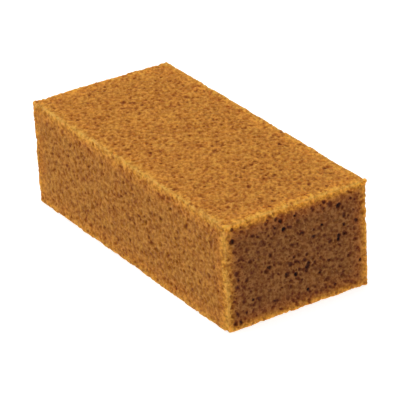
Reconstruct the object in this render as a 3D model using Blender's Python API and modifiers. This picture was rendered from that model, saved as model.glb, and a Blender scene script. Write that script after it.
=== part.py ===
"""Tile-washing sponge block: one piece of open-cell foam, cut square on all six faces.

Units are metres, +Z is up. The origin is the middle of the face that the block rests on.
+X runs along the length, +Y across the width. The block is a single cut piece: it has no
backing plate, handle, skin or seam, so the model is one object.
"""

import bmesh
import bpy
from mathutils import Vector

# Driving dimensions of the cut block
LENGTH = 0.220
WIDTH = 0.100
HEIGHT = 0.070

# A blade leaves foam with a nearly sharp arris, which handling rounds a little
ARRIS_RADIUS = 0.0012
ARRIS_SEGMENTS = 3

COLLECTION_NAME = "sponge_block_assembly"
BLOCK_NAME = "sponge_block"

# Golden brown dyed polyurethane foam: fully matte, no metal
FOAM_COLOUR = (0.50, 0.20, 0.045, 1.0)
FOAM_ROUGHNESS = 0.95
FOAM_METALLIC = 0.0


def clear_scene():
    """Remove whatever objects the file was opened with."""
    for leftover in list(bpy.data.objects):
        bpy.data.objects.remove(leftover, do_unlink=True)


def make_collection(name):
    """Add a collection for the object under the scene's own one."""
    collection = bpy.data.collections.new(name)
    bpy.context.scene.collection.children.link(collection)
    return collection


def foam_material():
    """Matte golden brown open-cell foam."""
    material = bpy.data.materials.new("golden_open_cell_foam")
    material.use_nodes = True
    shader = material.node_tree.nodes["Principled BSDF"]
    shader.inputs["Base Color"].default_value = FOAM_COLOUR
    shader.inputs["Roughness"].default_value = FOAM_ROUGHNESS
    shader.inputs["Metallic"].default_value = FOAM_METALLIC
    return material


def block_mesh(name):
    """A closed box of the block's own size, resting on Z = 0."""
    mesh = bpy.data.meshes.new(name)
    box = bmesh.new()
    bmesh.ops.create_cube(box, size=1.0)
    bmesh.ops.scale(box, vec=Vector((LENGTH, WIDTH, HEIGHT)), verts=box.verts)
    bmesh.ops.translate(box, vec=Vector((0.0, 0.0, HEIGHT / 2)), verts=box.verts)
    box.to_mesh(mesh)
    box.free()
    return mesh


def round_arrises(piece):
    """Break the twelve edges and eight corners with a small rounding."""
    bevel = piece.modifiers.new("arris_rounding", "BEVEL")
    bevel.width = ARRIS_RADIUS
    bevel.segments = ARRIS_SEGMENTS
    bevel.limit_method = "ANGLE"


def build_sponge_block(collection):
    """The foam block, the object's only physical piece."""
    piece = bpy.data.objects.new(BLOCK_NAME, block_mesh(BLOCK_NAME))
    collection.objects.link(piece)
    piece.data.materials.append(foam_material())
    round_arrises(piece)
    return piece


clear_scene()
build_sponge_block(make_collection(COLLECTION_NAME))
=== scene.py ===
"""Tile-washing sponge block: one cut piece of golden open-cell foam, on a light table.

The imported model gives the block's box. The foam is grown inside that box: a fine skin is laid
over it, its arrises are rounded and worn, and the cells that the blade opened are pressed
into all six faces. Lengths are metres unless a name says otherwise.
"""

import logging
import math
from dataclasses import dataclass, field
from enum import Enum

import bmesh
import bpy
import numpy as np
from mathutils import Matrix, Vector
from mathutils.kdtree import KDTree


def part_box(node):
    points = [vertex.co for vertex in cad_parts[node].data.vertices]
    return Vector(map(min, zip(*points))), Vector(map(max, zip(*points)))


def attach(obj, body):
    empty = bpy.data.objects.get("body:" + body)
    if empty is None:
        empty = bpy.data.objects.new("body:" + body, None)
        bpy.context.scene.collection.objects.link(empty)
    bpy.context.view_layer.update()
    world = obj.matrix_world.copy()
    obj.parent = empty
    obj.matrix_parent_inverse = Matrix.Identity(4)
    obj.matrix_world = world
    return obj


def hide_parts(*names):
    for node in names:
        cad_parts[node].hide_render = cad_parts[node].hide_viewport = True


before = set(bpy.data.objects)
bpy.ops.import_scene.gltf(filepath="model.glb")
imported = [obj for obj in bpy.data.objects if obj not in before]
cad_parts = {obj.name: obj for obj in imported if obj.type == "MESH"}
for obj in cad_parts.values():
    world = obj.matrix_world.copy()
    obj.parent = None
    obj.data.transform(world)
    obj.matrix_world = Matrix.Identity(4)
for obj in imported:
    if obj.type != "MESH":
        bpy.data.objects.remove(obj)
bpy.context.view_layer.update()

LOG = logging.getLogger("sponge_block")
MM = 0.001
NODE = "sponge_block"
BODY = "root"
# Foam rises as it sets, which draws its cells out, in most foams 1.2 to 1.5 times. These are
# drawn out further, along the line that looks over the near corner: a real pore is as deep as
# it is wide and looks round from there, and the modelled hollows are too shallow for that.
RISE = Vector((0.764, -0.468, 0.444)).to_track_quat("X", "Z")
CELL_STRETCH = (1.8, 1.0, 1.0)


# --------------------------------------------------------------------------- small helpers


def linear(hex_colour: str, alpha: float = 1.0) -> tuple[float, float, float, float]:
    """Turn an sRGB hex colour into the linear values that shaders take.

    Args:
        hex_colour: Six hex digits after a "#".
        alpha: The fourth value.

    Returns:
        Red, green, blue and alpha, each from 0 to 1.
    """
    channels = (int(hex_colour[i : i + 2], 16) / 255 for i in (1, 3, 5))
    return (
        *(c / 12.92 if c <= 0.04045 else ((c + 0.055) / 1.055) ** 2.4 for c in channels),
        alpha,
    )


def add_node(
    tree: bpy.types.NodeTree,
    kind: str,
    settings: dict | None = None,
    links: dict | None = None,
    stops: tuple[tuple[float, str], ...] = (),
) -> bpy.types.Node:
    """Add one shader node with its settings and its incoming links.

    Args:
        tree: The node tree to add to.
        kind: The node's class name.
        settings: Values by name: a node property, or else an input socket.
        links: Output sockets by the name or index of the input they feed.
        stops: Position and sRGB hex colour of each stop, where the node has a colour ramp.

    Returns:
        The new node.
    """
    node = tree.nodes.new(kind)
    for name, value in (settings or {}).items():
        if isinstance(name, str) and hasattr(node, name):
            setattr(node, name, value)
        else:
            node.inputs[name].default_value = value
    for name, source in (links or {}).items():
        tree.links.new(source, node.inputs[name])
    for index, (position, colour) in enumerate(stops):
        elements = node.color_ramp.elements
        stop = elements[index] if index < len(elements) else elements.new(1.0)
        stop.position = position
        stop.color = linear(colour)
    return node


def lattice_noise(
    points: np.ndarray, wavelength: float, rng: np.random.Generator, channels: int = 1
) -> np.ndarray:
    """Smooth random values that vary over a chosen length.

    Args:
        points: N by 3 places.
        wavelength: Distance between the lattice's random values.
        rng: The seeded generator to draw them from.
        channels: How many independent values each place gets.

    Returns:
        N by channels values between -1 and 1.
    """
    low = points.min(axis=0) - wavelength
    size = np.ceil((points.max(axis=0) - low) / wavelength).astype(int) + 2
    values = rng.uniform(-1.0, 1.0, (*size, channels))
    place = (points - low) / wavelength
    base = np.floor(place).astype(int)
    part = place - base
    part = part * part * (3.0 - 2.0 * part)
    total = np.zeros((len(points), channels))
    for corner in np.ndindex(2, 2, 2):
        weight = np.prod(np.where(corner, part, 1.0 - part), axis=1)
        total += values[tuple((base + corner).T)] * weight[:, None]
    return total


def blend(start: float, end: float, part: np.ndarray) -> np.ndarray:
    """Go from start, where the part is 0, to end, where it is 1."""
    return start + (end - start) * part


def smoothstep(values: np.ndarray, start: float, end: float) -> np.ndarray:
    """Ease from 0 at start to 1 at end."""
    t = np.clip((values - start) / (end - start), 0.0, 1.0)
    return t * t * (3.0 - 2.0 * t)


# --------------------------------------------------------------------------- finishes


class SkinValue(Enum):
    """What the foam's skin tells its material at each vertex."""

    # Painted shade of the cells, blowholes and nicks, lifted along the arrises.
    PAINTED_SHADE = "painted_shade"
    # Painted shade of the end faces, which sit in shade.
    PAINTED_END_SHADE = "painted_end_shade"
    # Painted light near the arrises, multiplied into the colour.
    ARRIS_GLOW = "arris_glow"


@dataclass(frozen=True)
class FoamFinish:
    """Open-cell polyurethane foam, dyed golden brown through its mass.

    It rose in a bun and was cut to size with a band knife, so there is no skin: the surface is
    a lace of matte struts round opened cells. Light scatters sideways from strut to strut for a
    few millimetres, which makes the foam look soft and its thin arrises glow amber; the long
    part of that glow is painted light in the colour. A cell's floor, deep in the lace, sits in
    shade, and that shade is painted into the colour, several shades darker than the struts
    round it.

    Attributes:
        name: The material's name.
        strut: Colour where the struts lie thickest.
        web: Colour of the lace as a whole.
        hollow: Colour in an open cell: painted shade, which the darkest clumps also reach towards.
        pit: Painted shade at the floor of the deepest cells.
        end_shade_tint: Painted shade on the end faces, which sit in shade: what each channel keeps.
        whitest: The most light that dyed foam sends back, as a share.
        fleck_size: Size of the clumps of struts.
        fleck_tone: Tone of the palest and the darkest clumps, on the ramp from strut to pit.
        mottle_size: Size of the denser and looser patches of the bun.
        mottle_tone: Tone of those patches, added to the clumps'.
        noise_span: The values between which nearly all of the noise lies.
        roughness: Roughness of the struts and of a cell's floor.
        noise_detail: Finer octaves of that noise, and the strength of each next to the last.
        relief: How far the clumps stand proud of each other.
        relief_strength: How much of that relief the light shows.
        scatter: How far red light travels through the foam.
        scatter_by_colour: How far red, green and blue travel, as shares of that.
    """

    name: str = "golden_open_cell_polyurethane_foam"
    strut: str = "#C68733"
    web: str = "#A76921"
    hollow: str = "#804012"
    pit: str = "#22120A"
    end_shade_tint: str = "#CDC9F8"
    whitest: float = 0.92
    # The struts are about 0.2 mm thick and their clumps 0.5 mm to 1 mm, too fine to show at the
    # render's size, so the clumps are drawn as coarse as this.
    fleck_size: float = 2.1 * MM
    fleck_tone: tuple[float, float] = (-0.24, 0.26)
    # The bun's looser patches, two or three cells across, show at their own size.
    mottle_size: float = 6.0 * MM
    mottle_tone: tuple[float, float] = (0.10, 0.19)
    noise_span: tuple[float, float] = (0.30, 0.70)
    roughness: tuple[float, float] = (0.85, 1.0)
    noise_detail: tuple[float, float] = (2.0, 0.6)
    relief: float = 0.4 * MM
    relief_strength: float = 0.5
    scatter: float = 1.6 * MM
    scatter_by_colour: tuple[float, float, float] = (1.0, 0.6, 0.25)

    def build(self) -> bpy.types.Material:
        """Make the material.

        Returns:
            The foam, reading Object coordinates and the block's own attributes.
        """
        material = bpy.data.materials.new(self.name)
        material.use_nodes = True
        tree = material.node_tree
        shader = tree.nodes["Principled BSDF"]
        whole = add_node(tree, "ShaderNodeTexCoord").outputs["Object"]
        place = add_node(
            tree,
            "ShaderNodeMapping",
            {"vector_type": "TEXTURE", "Rotation": RISE.to_euler(), "Scale": CELL_STRETCH},
            {"Vector": whole},
        ).outputs["Vector"]
        octaves = dict(zip(("Detail", "Roughness"), self.noise_detail))
        flecks = add_node(
            tree,
            "ShaderNodeTexNoise",
            {"Scale": 1.0 / self.fleck_size, **octaves},
            {"Vector": place},
        )
        mottle = add_node(
            tree,
            "ShaderNodeTexNoise",
            {"Scale": 1.0 / self.mottle_size, **octaves},
            {"Vector": place},
        )
        # Painted shade of the cells, blowholes and nicks, which the skin carries.
        cell = add_node(tree, "ShaderNodeAttribute", {"attribute_name": SkinValue.PAINTED_SHADE.value})
        glow = add_node(tree, "ShaderNodeAttribute", {"attribute_name": SkinValue.ARRIS_GLOW.value})
        end = add_node(tree, "ShaderNodeAttribute", {"attribute_name": SkinValue.PAINTED_END_SHADE.value})

        span = dict(zip((1, 2), self.noise_span))
        fleck_tone = add_node(
            tree,
            "ShaderNodeMapRange",
            {**span, **dict(zip((3, 4), self.fleck_tone)), "clamp": False},
            {0: flecks.outputs["Fac"]},
        ).outputs[0]
        mottle_tone = add_node(
            tree,
            "ShaderNodeMapRange",
            {**span, **dict(zip((3, 4), self.mottle_tone)), "clamp": False},
            {0: mottle.outputs["Fac"]},
        ).outputs[0]
        drift = add_node(
            tree, "ShaderNodeMath", {"operation": "ADD"}, {0: fleck_tone, 1: mottle_tone}
        ).outputs[0]
        tone = add_node(
            tree,
            "ShaderNodeMath",
            {"operation": "ADD", "use_clamp": True},
            {0: drift, 1: cell.outputs["Fac"]},
        ).outputs[0]
        # The darker half of this ramp is reached by the cells' painted shade.
        foam = add_node(
            tree,
            "ShaderNodeValToRGB",
            links={"Fac": tone},
            stops=((0.0, self.strut), (0.25, self.web), (0.55, self.hollow), (1.0, self.pit)),
        ).outputs["Color"]
        # Painted shade: the end faces, which sit in shade, are darkened.
        shaded_ends = add_node(
            tree,
            "ShaderNodeMix",
            {"data_type": "RGBA", "blend_type": "MULTIPLY", 7: linear(self.end_shade_tint)},
            {0: end.outputs["Fac"], 6: foam},
        ).outputs[2]
        # Painted light: the arrises' glow is multiplied into the colour.
        glowing = add_node(
            tree,
            "ShaderNodeVectorMath",
            {"operation": "MULTIPLY"},
            {0: shaded_ends, 1: glow.outputs["Vector"]},
        ).outputs[0]
        colour = add_node(
            tree,
            "ShaderNodeVectorMath",
            {"operation": "MINIMUM", 1: (self.whitest,) * 3},
            {0: glowing},
        ).outputs[0]
        relief = add_node(
            tree,
            "ShaderNodeBump",
            {"Strength": self.relief_strength, "Distance": self.relief},
            {"Height": flecks.outputs["Fac"]},
        ).outputs["Normal"]
        # Strut faces keep a trace of their moulded smoothness, and an open cell has none.
        roughness = add_node(
            tree,
            "ShaderNodeMapRange",
            dict(zip((3, 4), self.roughness)),
            {0: tone},
        ).outputs[0]
        tree.links.new(colour, shader.inputs["Base Color"])
        tree.links.new(relief, shader.inputs["Normal"])
        tree.links.new(roughness, shader.inputs["Roughness"])
        shader.inputs["Specular IOR Level"].default_value = 0.25
        shader.inputs["Subsurface Weight"].default_value = 1.0
        shader.inputs["Subsurface Radius"].default_value = self.scatter_by_colour
        shader.inputs["Subsurface Scale"].default_value = self.scatter
        return material


@dataclass(frozen=True)
class LightTableFinish:
    """Opal acrylic sheet, sanded matte on top and lit evenly from beneath."""

    name: str = "opal_acrylic_light_table"
    colour: str = "#AFAFAE"
    glow: str = "#FFFFFF"
    glow_strength: float = 0.80

    def build(self) -> bpy.types.Material:
        """Make the material.

        Returns:
            A matte pale sheet that gives off its own even light.
        """
        material = bpy.data.materials.new(self.name)
        material.use_nodes = True
        shader = material.node_tree.nodes["Principled BSDF"]
        shader.inputs["Base Color"].default_value = linear(self.colour)
        shader.inputs["Roughness"].default_value = 1.0
        shader.inputs["Specular IOR Level"].default_value = 0.0
        shader.inputs["Emission Color"].default_value = linear(self.glow)
        shader.inputs["Emission Strength"].default_value = self.glow_strength
        return material


# --------------------------------------------------------------------------- the foam block


@dataclass(frozen=True)
class Lace:
    """Cells that fill the foam wall to wall, cut through by the surface.

    Attributes:
        pitch: Mean distance between the cells' middles.
        depth: Depth of a hollow whose cell was cut at its widest.
        tone: How dark the painted shade in that hollow is, from 0 to 1.
        wall: Width of the wall round a cell, in pitches, as are the next three.
        bowl_slope: How far in from the wall the floor is reached.
        shade_slope: How far in from the wall the full shade is reached.
        opening: Where a cell's middle lies, from above the cut to below it, as the cut goes
            from clipping the cell to opening it wide.
        least_depth: Depth of a cell that the cut only clips, as a share of an opened one's.
        evenness: Depth and shade of the palest, shallowest cells, as shares of the deepest.
    """

    pitch: float
    depth: float
    tone: float
    wall: float = 0.04
    bowl_slope: float = 0.9
    shade_slope: float = 0.5
    opening: tuple[float, float] = (-0.55, 0.35)
    least_depth: float = 0.25
    evenness: tuple[float, float] = (0.5, 0.35)

    def cut(
        self, points: np.ndarray, outward: np.ndarray, rng: np.random.Generator
    ) -> tuple[np.ndarray, np.ndarray]:
        """Cut the cells open.

        Args:
            points: N by 3 places on the surface.
            outward: The outward direction at each place.
            rng: The seeded generator that places the cells.

        Returns:
            Depth below the surface, and the painted shade of the open cell at each place, from 0 to
            1.
        """
        place = (points - points.min(axis=0)) / self.pitch + 1.0
        base = np.floor(place).astype(int)
        size = base.max(axis=0) + 2
        middles = rng.random((*size, 3))
        fates = rng.random(size)
        nearest = np.full(len(points), np.inf)
        second = nearest.copy()
        below = np.zeros(len(points))
        fate = np.zeros(len(points))
        for offset in np.ndindex(3, 3, 3):
            home = base + np.array(offset) - 1
            at = tuple(home.T)
            gap = home + middles[at] - place
            away = np.linalg.norm(gap, axis=1)
            closer = away < nearest
            second = np.where(closer, nearest, np.minimum(second, away))
            below = np.where(closer, -np.einsum("ij,ij->i", gap, outward), below)
            fate = np.where(closer, fates[at], fate)
            nearest = np.where(closer, away, nearest)
        room = second - nearest
        opened = smoothstep(below, *self.opening)
        bowl = smoothstep(room, self.wall, self.wall + self.bowl_slope)
        floor = smoothstep(room, self.wall, self.wall + self.shade_slope)
        shallowest, palest = self.evenness
        depth = self.depth * bowl * blend(self.least_depth, 1.0, opened)
        depth *= blend(shallowest, 1.0, fate)
        return depth, self.tone * floor * opened * blend(palest, 1.0, fate**2)


@dataclass(frozen=True)
class Blowholes:
    """Stray round cells, deeper than the lace and with darker painted shade, where gas ran
    together.

    Attributes:
        radius: Median radius of the mouth.
        spread: Log-normal spread of that radius.
        per_cm2: How many a square centimetre of cut face shows.
        wall_slope: Steepest slope of the wall, as rise over run.
        tip: Radius of the rounded floor, as a share of the mouth's.
        tones: The painted shade of the palest and the darkest blowhole, from 0 to 1.
        shade_by: Share of the depth at which the full shade is reached.
    """

    radius: float = 1.25 * MM
    spread: float = 0.22
    per_cm2: float = 1.0
    wall_slope: float = 1.0
    tip: float = 0.45
    tones: tuple[float, float] = (0.25, 1.0)
    shade_by: float = 0.6

    def throw(
        self, low: np.ndarray, high: np.ndarray, rng: np.random.Generator
    ) -> tuple[np.ndarray, np.ndarray]:
        """Throw the blowholes on the six faces.

        Args:
            low: The block's lowest corner.
            high: The block's highest corner.
            rng: The seeded generator that throws them.

        Returns:
            Centres and mouth radii.
        """
        sides = high - low
        areas = np.repeat(np.prod(sides) / sides, 2)
        count = int(areas.sum() / (10 * MM) ** 2 * self.per_cm2)
        faces = rng.choice(6, count, p=areas / areas.sum())
        centres = low + rng.random((count, 3)) * sides
        for face in range(6):
            centres[faces == face, face // 2] = (low, high)[face % 2][face // 2]
        return centres, self.radius * np.exp(rng.normal(0.0, self.spread, count))

    def cut(
        self, points: np.ndarray, low: np.ndarray, high: np.ndarray, rng: np.random.Generator
    ) -> tuple[np.ndarray, np.ndarray]:
        """Cut the blowholes open.

        Args:
            points: N by 3 places on the surface.
            low: The block's lowest corner.
            high: The block's highest corner.
            rng: The seeded generator that throws them.

        Returns:
            Depth below the surface, and the painted shade there, growing with depth in a blowhole,
            from 0 to 1.
        """
        tree = KDTree(len(points))
        for index, point in enumerate(points):
            tree.insert(point, index)
        tree.balance()
        depth = np.zeros(len(points))
        shade = np.zeros(len(points))
        centres, radii = self.throw(low, high, rng)
        darkness = rng.uniform(*self.tones, len(centres))
        LOG.info("%d blowholes", len(centres))
        for centre, radius, dark in zip(centres, radii, darkness):
            found = tree.find_range(Vector(centre), radius)
            if not found:
                continue
            index = np.array([hit[1] for hit in found])
            away = np.array([hit[2] for hit in found])
            tip = self.tip * radius
            rim = math.hypot(radius, tip)
            fall = rim - np.hypot(away, tip)
            depth[index] = np.maximum(depth[index], self.wall_slope * fall)
            share = fall / (rim - tip)
            shade[index] = np.maximum(shade[index], dark * smoothstep(share, 0.0, self.shade_by))
        return depth, shade


@dataclass(frozen=True)
class ArrisMark:
    """A worn place on an arris.

    Attributes:
        place: Its centre.
        radius: How far it reaches along the arris.
        height: How far it stands proud, or with a minus sign, cuts in.
    """

    place: tuple[float, float, float]
    radius: float
    height: float


@dataclass
class SpongeBlock:
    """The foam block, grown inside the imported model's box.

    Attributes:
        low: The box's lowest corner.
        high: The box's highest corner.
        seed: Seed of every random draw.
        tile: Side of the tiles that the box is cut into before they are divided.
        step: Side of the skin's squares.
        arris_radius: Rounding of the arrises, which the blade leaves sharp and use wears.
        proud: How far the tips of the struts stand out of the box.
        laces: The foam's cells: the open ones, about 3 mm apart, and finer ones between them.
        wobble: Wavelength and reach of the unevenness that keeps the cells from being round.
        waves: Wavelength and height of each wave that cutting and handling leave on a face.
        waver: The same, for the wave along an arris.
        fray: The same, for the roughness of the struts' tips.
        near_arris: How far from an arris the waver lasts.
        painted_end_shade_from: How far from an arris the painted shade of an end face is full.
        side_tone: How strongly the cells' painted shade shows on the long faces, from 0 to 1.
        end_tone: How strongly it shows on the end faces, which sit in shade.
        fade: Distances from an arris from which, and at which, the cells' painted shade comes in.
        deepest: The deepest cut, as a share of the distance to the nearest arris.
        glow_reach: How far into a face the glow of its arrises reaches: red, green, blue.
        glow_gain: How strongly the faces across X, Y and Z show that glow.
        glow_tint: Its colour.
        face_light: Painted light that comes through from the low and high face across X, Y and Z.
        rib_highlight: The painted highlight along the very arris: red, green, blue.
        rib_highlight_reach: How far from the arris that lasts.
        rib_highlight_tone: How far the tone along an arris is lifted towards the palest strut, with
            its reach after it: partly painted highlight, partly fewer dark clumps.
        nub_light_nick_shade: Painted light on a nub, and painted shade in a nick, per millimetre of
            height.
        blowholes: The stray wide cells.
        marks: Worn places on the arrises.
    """

    low: np.ndarray
    high: np.ndarray
    seed: int = 41
    tile: float = 10.0 * MM
    step: float = 0.4545 * MM
    arris_radius: float = 1.5 * MM
    proud: float = 0.3 * MM
    laces: tuple[Lace, ...] = (
        Lace(pitch=3.3 * MM, depth=1.25 * MM, tone=0.95),
        Lace(pitch=1.7 * MM, depth=0.45 * MM, tone=0.75),
    )
    wobble: tuple[float, float] = (1.6 * MM, 0.25 * MM)
    waves: tuple[tuple[float, float], ...] = ((45 * MM, 0.35 * MM), (9 * MM, 0.15 * MM))
    waver: tuple[float, float] = (5.0 * MM, 0.35 * MM)
    fray: tuple[float, float] = (1.7 * MM, 0.25 * MM)
    near_arris: float = 2.2 * MM
    painted_end_shade_from: float = 7.0 * MM
    side_tone: float = 0.44
    end_tone: float = 0.83
    fade: tuple[float, float] = (-1.0 * MM, 2.5 * MM)
    deepest: float = 0.75
    glow_reach: tuple[float, float, float] = (7.0 * MM, 5.2 * MM, 1.8 * MM)
    glow_gain: tuple[float, float, float] = (1.20, 0.64, 0.45)
    glow_tint: tuple[float, float, float] = (0.9, 1.1, 0.9)
    face_light: tuple[tuple[float, float], ...] = ((0.80, 0.80), (0.35, 0.67), (0.65, 0.75))
    rib_highlight: tuple[float, float, float] = (-0.02, 0.24, 0.90)
    rib_highlight_reach: float = 2.0 * MM
    rib_highlight_tone: tuple[float, float] = (0.14, 1.2 * MM)
    nub_light_nick_shade: tuple[float, float] = (0.30, 0.5)
    blowholes: Blowholes = Blowholes()
    marks: tuple[ArrisMark, ...] = ()
    rng: np.random.Generator = field(init=False)

    def __post_init__(self) -> None:
        """Seed the block's own random draws."""
        self.rng = np.random.default_rng(self.seed)

    def skin(self) -> bpy.types.Mesh:
        """Lay a closed skin of small squares over the box.

        Returns:
            The skin's mesh, still with sharp arrises.
        """
        skin = bmesh.new()
        bmesh.ops.create_cube(skin, size=1.0)
        bmesh.ops.scale(skin, vec=Vector(self.high - self.low), verts=skin.verts)
        bmesh.ops.translate(skin, vec=Vector((self.low + self.high) / 2), verts=skin.verts)
        for axis, side in enumerate(self.high - self.low):
            across = np.eye(3)[axis]
            tiles = round(side / self.tile)
            for k in range(1, tiles):
                bmesh.ops.bisect_plane(
                    skin,
                    geom=skin.verts[:] + skin.edges[:] + skin.faces[:],
                    dist=1e-7,
                    plane_co=Vector(self.low + across * side * k / tiles),
                    plane_no=Vector(across),
                )
        bmesh.ops.subdivide_edges(
            skin,
            edges=skin.edges[:],
            cuts=round(self.tile / self.step) - 1,
            use_grid_fill=True,
        )
        mesh = bpy.data.meshes.new("foam_block")
        skin.to_mesh(mesh)
        skin.free()
        return mesh

    def rounded(self, points: np.ndarray) -> tuple[np.ndarray, np.ndarray]:
        """Round the arrises and corners.

        Args:
            points: N by 3 places on the sharp box.

        Returns:
            The places on the rounded box, and the outward directions there.
        """
        core = np.clip(points, self.low + self.arris_radius, self.high - self.arris_radius)
        outward = points - core
        outward /= np.linalg.norm(outward, axis=1, keepdims=True)
        return core + self.arris_radius * outward, outward

    def arris_distance(self, points: np.ndarray) -> np.ndarray:
        """Distance from each place on the box's surface to the nearest arris."""
        to_face = np.minimum(points - self.low, self.high - points)
        return np.sort(to_face, axis=1)[:, 1]

    def arris_glow(self, points: np.ndarray, outward: np.ndarray) -> np.ndarray:
        """Find how much brighter the thin foam near each arris looks, colour by colour.

        Light that enters the next face comes through a few millimetres of foam, and red comes
        furthest. The shader's own scattering is kept short, so that the cells stay crisp, and this
        painted light in the colour carries the long part of it, more beside the lit faces.

        Args:
            points: N by 3 places on the sharp box.
            outward: The outward direction at each place.

        Returns:
            N by 3 factors for red, green and blue, 1 in the middle of a face.
        """
        facing = outward**2
        gain = (facing @ np.array(self.glow_gain))[:, None] * np.array(self.glow_tint)
        through = np.zeros_like(points)
        for axis, side in np.ndindex(3, 2):
            to_face = np.abs(points[:, axis] - (self.low, self.high)[side][axis])
            seen = (1.0 - facing[:, axis]) * self.face_light[axis][side]
            near = np.exp(-((to_face[:, None] / np.array(self.glow_reach)) ** 2))
            through = np.maximum(through, seen[:, None] * near)
        # Painted highlight along the very arris.
        rib = np.exp(-self.arris_distance(points)[:, None] / self.rib_highlight_reach)
        return 1.0 + gain * through + np.array(self.rib_highlight) * rib

    def handling_waves(self, points: np.ndarray, near_arris: np.ndarray) -> np.ndarray:
        """Height of the slow and quick waves that cutting and handling leave.

        Args:
            points: N by 3 places on the rounded box.
            near_arris: 1 on an arris, falling to 0 a few millimetres off.

        Returns:
            Height along the outward direction.
        """
        height = np.zeros(len(points))
        shares = (1.0, 1.0, near_arris, 1.0 - near_arris / 2)
        for (wavelength, rise), share in zip((*self.waves, self.waver, self.fray), shares):
            height += lattice_noise(points, wavelength, self.rng)[:, 0] * rise * share
        return height

    def marks_height(self, points: np.ndarray) -> np.ndarray:
        """Find the height of the nubs and nicks on the arrises.

        Args:
            points: N by 3 places on the rounded box.

        Returns:
            Height along the outward direction, below 0 in a nick.
        """
        height = np.zeros(len(points))
        for mark in self.marks:
            away = np.linalg.norm(points - np.array(mark.place), axis=1)
            height += mark.height * (1.0 - smoothstep(away, 0.0, mark.radius))
        return height

    def cells(self, points: np.ndarray, outward: np.ndarray) -> tuple[np.ndarray, np.ndarray]:
        """Open every cell that the cut met.

        Args:
            points: N by 3 places on the rounded box.
            outward: The outward direction at each place.

        Returns:
            Depth below the surface, and the painted shade of the place, from 0, strut, to 1, pit.
        """
        wavelength, reach = self.wobble
        wobbled = points + lattice_noise(points, wavelength, self.rng, 3) * reach
        depth = np.zeros(len(points))
        shade = np.zeros(len(points))
        grain = np.array(RISE.to_matrix())
        grown = wobbled @ grain / np.array(CELL_STRETCH)
        for lace in self.laces:
            hollow, dark = lace.cut(grown, outward @ grain, self.rng)
            depth += hollow
            shade = np.maximum(shade, dark)
        hole, dark = self.blowholes.cut(wobbled, self.low, self.high, self.rng)
        return np.maximum(depth, hole), np.maximum(shade, dark)

    def build(self, finish: FoamFinish) -> bpy.types.Object:
        """Make the block.

        Args:
            finish: The foam's material.

        Returns:
            The finished piece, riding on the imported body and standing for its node.
        """
        mesh = self.skin()
        count = len(mesh.vertices)
        flat = np.empty(count * 3, np.float32)
        mesh.vertices.foreach_get("co", flat)
        box = flat.reshape(-1, 3).astype(float)
        off_arris = self.arris_distance(box)
        points, outward = self.rounded(box)
        near = np.exp(-off_arris / self.near_arris)
        # Painted light near the arrises, multiplied into the colour.
        glow = self.arris_glow(box, outward)
        # Painted shade on the end faces, full a few millimetres in from their arrises.
        painted_end_shade = smoothstep(np.abs(outward[:, 0]), 0.5, 0.9)
        painted_end_shade *= smoothstep(off_arris, 0.0, self.painted_end_shade_from)
        marks = self.marks_height(points)
        height = self.proud + self.handling_waves(points, near) + marks
        worn = points + outward * height[:, None]
        # The cells' depth, and the painted shade in their floors.
        depth, shade = self.cells(points, outward)
        deepest = self.deepest * np.maximum(off_arris, self.arris_radius)
        worn -= outward * np.minimum(depth, deepest)[:, None]
        worn[:, 2] = np.maximum(worn[:, 2], self.low[2])
        # Painted light on the nubs, and painted shade in the nicks.
        nub, nick = self.nub_light_nick_shade
        glow += nub * np.maximum(marks, 0.0)[:, None] / MM
        # The cells' painted shade is stronger on the shaded end faces and fades out near an arris.
        shade *= blend(self.side_tone, self.end_tone, painted_end_shade) * smoothstep(off_arris, *self.fade)
        shade = np.maximum(shade, -nick * marks / MM)
        # Painted highlight: along an arris the tone is lifted towards the palest strut, which also
        # evens out the clumps there.
        rib_lift, rib_highlight_reach = self.rib_highlight_tone
        shade -= rib_lift * np.exp(-off_arris / rib_highlight_reach)
        mesh.vertices.foreach_set("co", worn.astype(np.float32).ravel())
        for kind, values in ((SkinValue.PAINTED_SHADE, shade), (SkinValue.PAINTED_END_SHADE, painted_end_shade)):
            attribute = mesh.attributes.new(kind.value, "FLOAT", "POINT")
            attribute.data.foreach_set("value", values.astype(np.float32))
        attribute = mesh.attributes.new(SkinValue.ARRIS_GLOW.value, "FLOAT_VECTOR", "POINT")
        attribute.data.foreach_set("vector", glow.astype(np.float32).ravel())
        mesh.update()
        mesh.shade_smooth()
        piece = bpy.data.objects.new("foam_block", mesh)
        bpy.context.scene.collection.objects.link(piece)
        mesh.materials.append(finish.build())
        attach(piece, BODY)
        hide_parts(NODE)
        return piece


# --------------------------------------------------------------------------- studio


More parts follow.
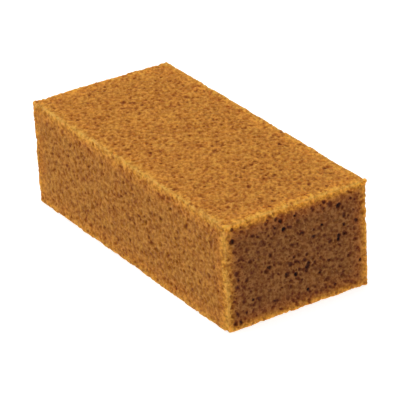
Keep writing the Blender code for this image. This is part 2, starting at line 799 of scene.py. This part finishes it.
@dataclass(frozen=True)
class Studio:
    """A light table under a soft overhead panel, in a white room with a dim ceiling."""

    floor_side: float = 24.0
    floor_gap: float = 0.1 * MM
    key_power: float = 34.5
    key_size: float = 1.2
    key_distance: float = 1.8
    key_from: tuple[float, float, float] = (-0.08, -0.08, 0.99)
    walls: str = "#FFFFFF"
    ceiling: str = "#5A5A5A"
    wall_top: float = 0.07
    ceiling_from: float = 0.22

    def build(self, centre: Vector) -> None:
        """Lay the floor and hang the lights.

        Args:
            centre: The block's middle, which the key light faces.
        """
        self.lay_floor()
        self.hang_key(centre)
        self.light_surroundings()

    def lay_floor(self) -> None:
        """Lay the light table's sheet a hair under the block's resting face."""
        sheet = bmesh.new()
        bmesh.ops.create_grid(sheet, x_segments=8, y_segments=8, size=self.floor_side / 2)
        bmesh.ops.translate(sheet, vec=Vector((0.0, 0.0, -self.floor_gap)), verts=sheet.verts)
        mesh = bpy.data.meshes.new("studio_floor")
        sheet.to_mesh(mesh)
        sheet.free()
        mesh.materials.append(LightTableFinish().build())
        floor = bpy.data.objects.new("studio_floor", mesh)
        bpy.context.scene.collection.objects.link(floor)

    def hang_key(self, centre: Vector) -> None:
        """Hang the key light, a large square panel.

        Args:
            centre: The place that the panel faces.
        """
        lamp = bpy.data.lights.new("key_panel", "AREA")
        lamp.shape = "SQUARE"
        lamp.size = self.key_size
        lamp.energy = self.key_power
        panel = bpy.data.objects.new("key_panel", lamp)
        away = Vector(self.key_from).normalized()
        panel.location = centre + away * self.key_distance
        panel.rotation_mode = "QUATERNION"
        panel.rotation_quaternion = away.to_track_quat("Z", "Y")
        bpy.context.scene.collection.objects.link(panel)

    def light_surroundings(self) -> None:
        """Light the room: low white walls all round, under a dim ceiling."""
        world = bpy.data.worlds.new("white_walled_room")
        world.use_nodes = True
        tree = world.node_tree
        towards = add_node(tree, "ShaderNodeTexCoord").outputs["Generated"]
        height = add_node(tree, "ShaderNodeSeparateXYZ", links={0: towards}).outputs["Z"]
        room = add_node(
            tree,
            "ShaderNodeValToRGB",
            links={"Fac": height},
            stops=((self.wall_top, self.walls), (self.ceiling_from, self.ceiling)),
        ).outputs["Color"]
        tree.links.new(room, tree.nodes["Background"].inputs["Color"])
        bpy.context.scene.world = world


@dataclass(frozen=True)
class ProductCamera:
    """A long lens that looks down on the block over its near corner."""

    azimuth: float = 58.485
    elevation: float = 26.397
    roll: float = -2.870
    distance: float = 1.8098
    focal_length_mm: float = 265.27
    shift_right: float = 2.2 * MM
    shift_up: float = -5.6 * MM

    def build(self, centre: Vector) -> bpy.types.Object:
        """Set the camera up.

        Args:
            centre: The block's middle, which the lens looks just beside.

        Returns:
            The scene's camera.
        """
        turn, rise = math.radians(self.azimuth), math.radians(self.elevation)
        back = Vector(
            (
                math.sin(turn) * math.cos(rise),
                -math.cos(turn) * math.cos(rise),
                math.sin(rise),
            )
        )
        level_right = (-back).cross(Vector((0.0, 0.0, 1.0))).normalized()
        level_up = level_right.cross(-back)
        tilt = math.radians(self.roll)
        right = math.cos(tilt) * level_right + math.sin(tilt) * level_up
        up = math.cos(tilt) * level_up - math.sin(tilt) * level_right
        aim = centre + right * self.shift_right + up * self.shift_up
        lens = bpy.data.cameras.new("product_camera")
        lens.lens = self.focal_length_mm
        lens.sensor_width = 36.0
        lens.clip_start = 0.05
        lens.clip_end = 60.0
        camera = bpy.data.objects.new("product_camera", lens)
        axes = Matrix((right, up, back)).transposed()
        camera.matrix_world = Matrix.Translation(aim + back * self.distance) @ axes.to_4x4()
        bpy.context.scene.collection.objects.link(camera)
        bpy.context.scene.camera = camera
        return camera


def main() -> None:
    """Build the camera, the studio and the block, and report each."""
    logging.basicConfig(level=logging.INFO, format="%(name)s: %(message)s")
    low, high = (np.array(corner, float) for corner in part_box(NODE))
    centre = Vector((low + high) / 2)
    bpy.context.scene.view_settings.view_transform = "Standard"
    ProductCamera().build(centre)
    LOG.info("camera set")
    Studio().build(centre)
    LOG.info("floor and lights set")
    # A nub and the nick beside it on the near long arris, the raised tip of the far corner, and
    # nicks in the near upright arris and in the lower arris of the near end.
    marks = (
        ArrisMark((-12.0 * MM, low[1] + 1.5 * MM, high[2]), 2.2 * MM, 1.6 * MM),
        ArrisMark((-15.0 * MM, low[1] + 0.5 * MM, high[2]), 2.0 * MM, -1.2 * MM),
        ArrisMark((high[0], high[1], high[2]), 3.0 * MM, 1.5 * MM),
        ArrisMark((high[0], low[1], 44.5 * MM), 3.0 * MM, -0.9 * MM),
        ArrisMark((high[0], -7.0 * MM, low[2]), 1.8 * MM, -1.2 * MM),
    )
    block = SpongeBlock(low, high, marks=marks)
    piece = block.build(FoamFinish())
    LOG.info("%s: %d faces", piece.name, len(piece.data.polygons))


if __name__ == "__main__":
    main()
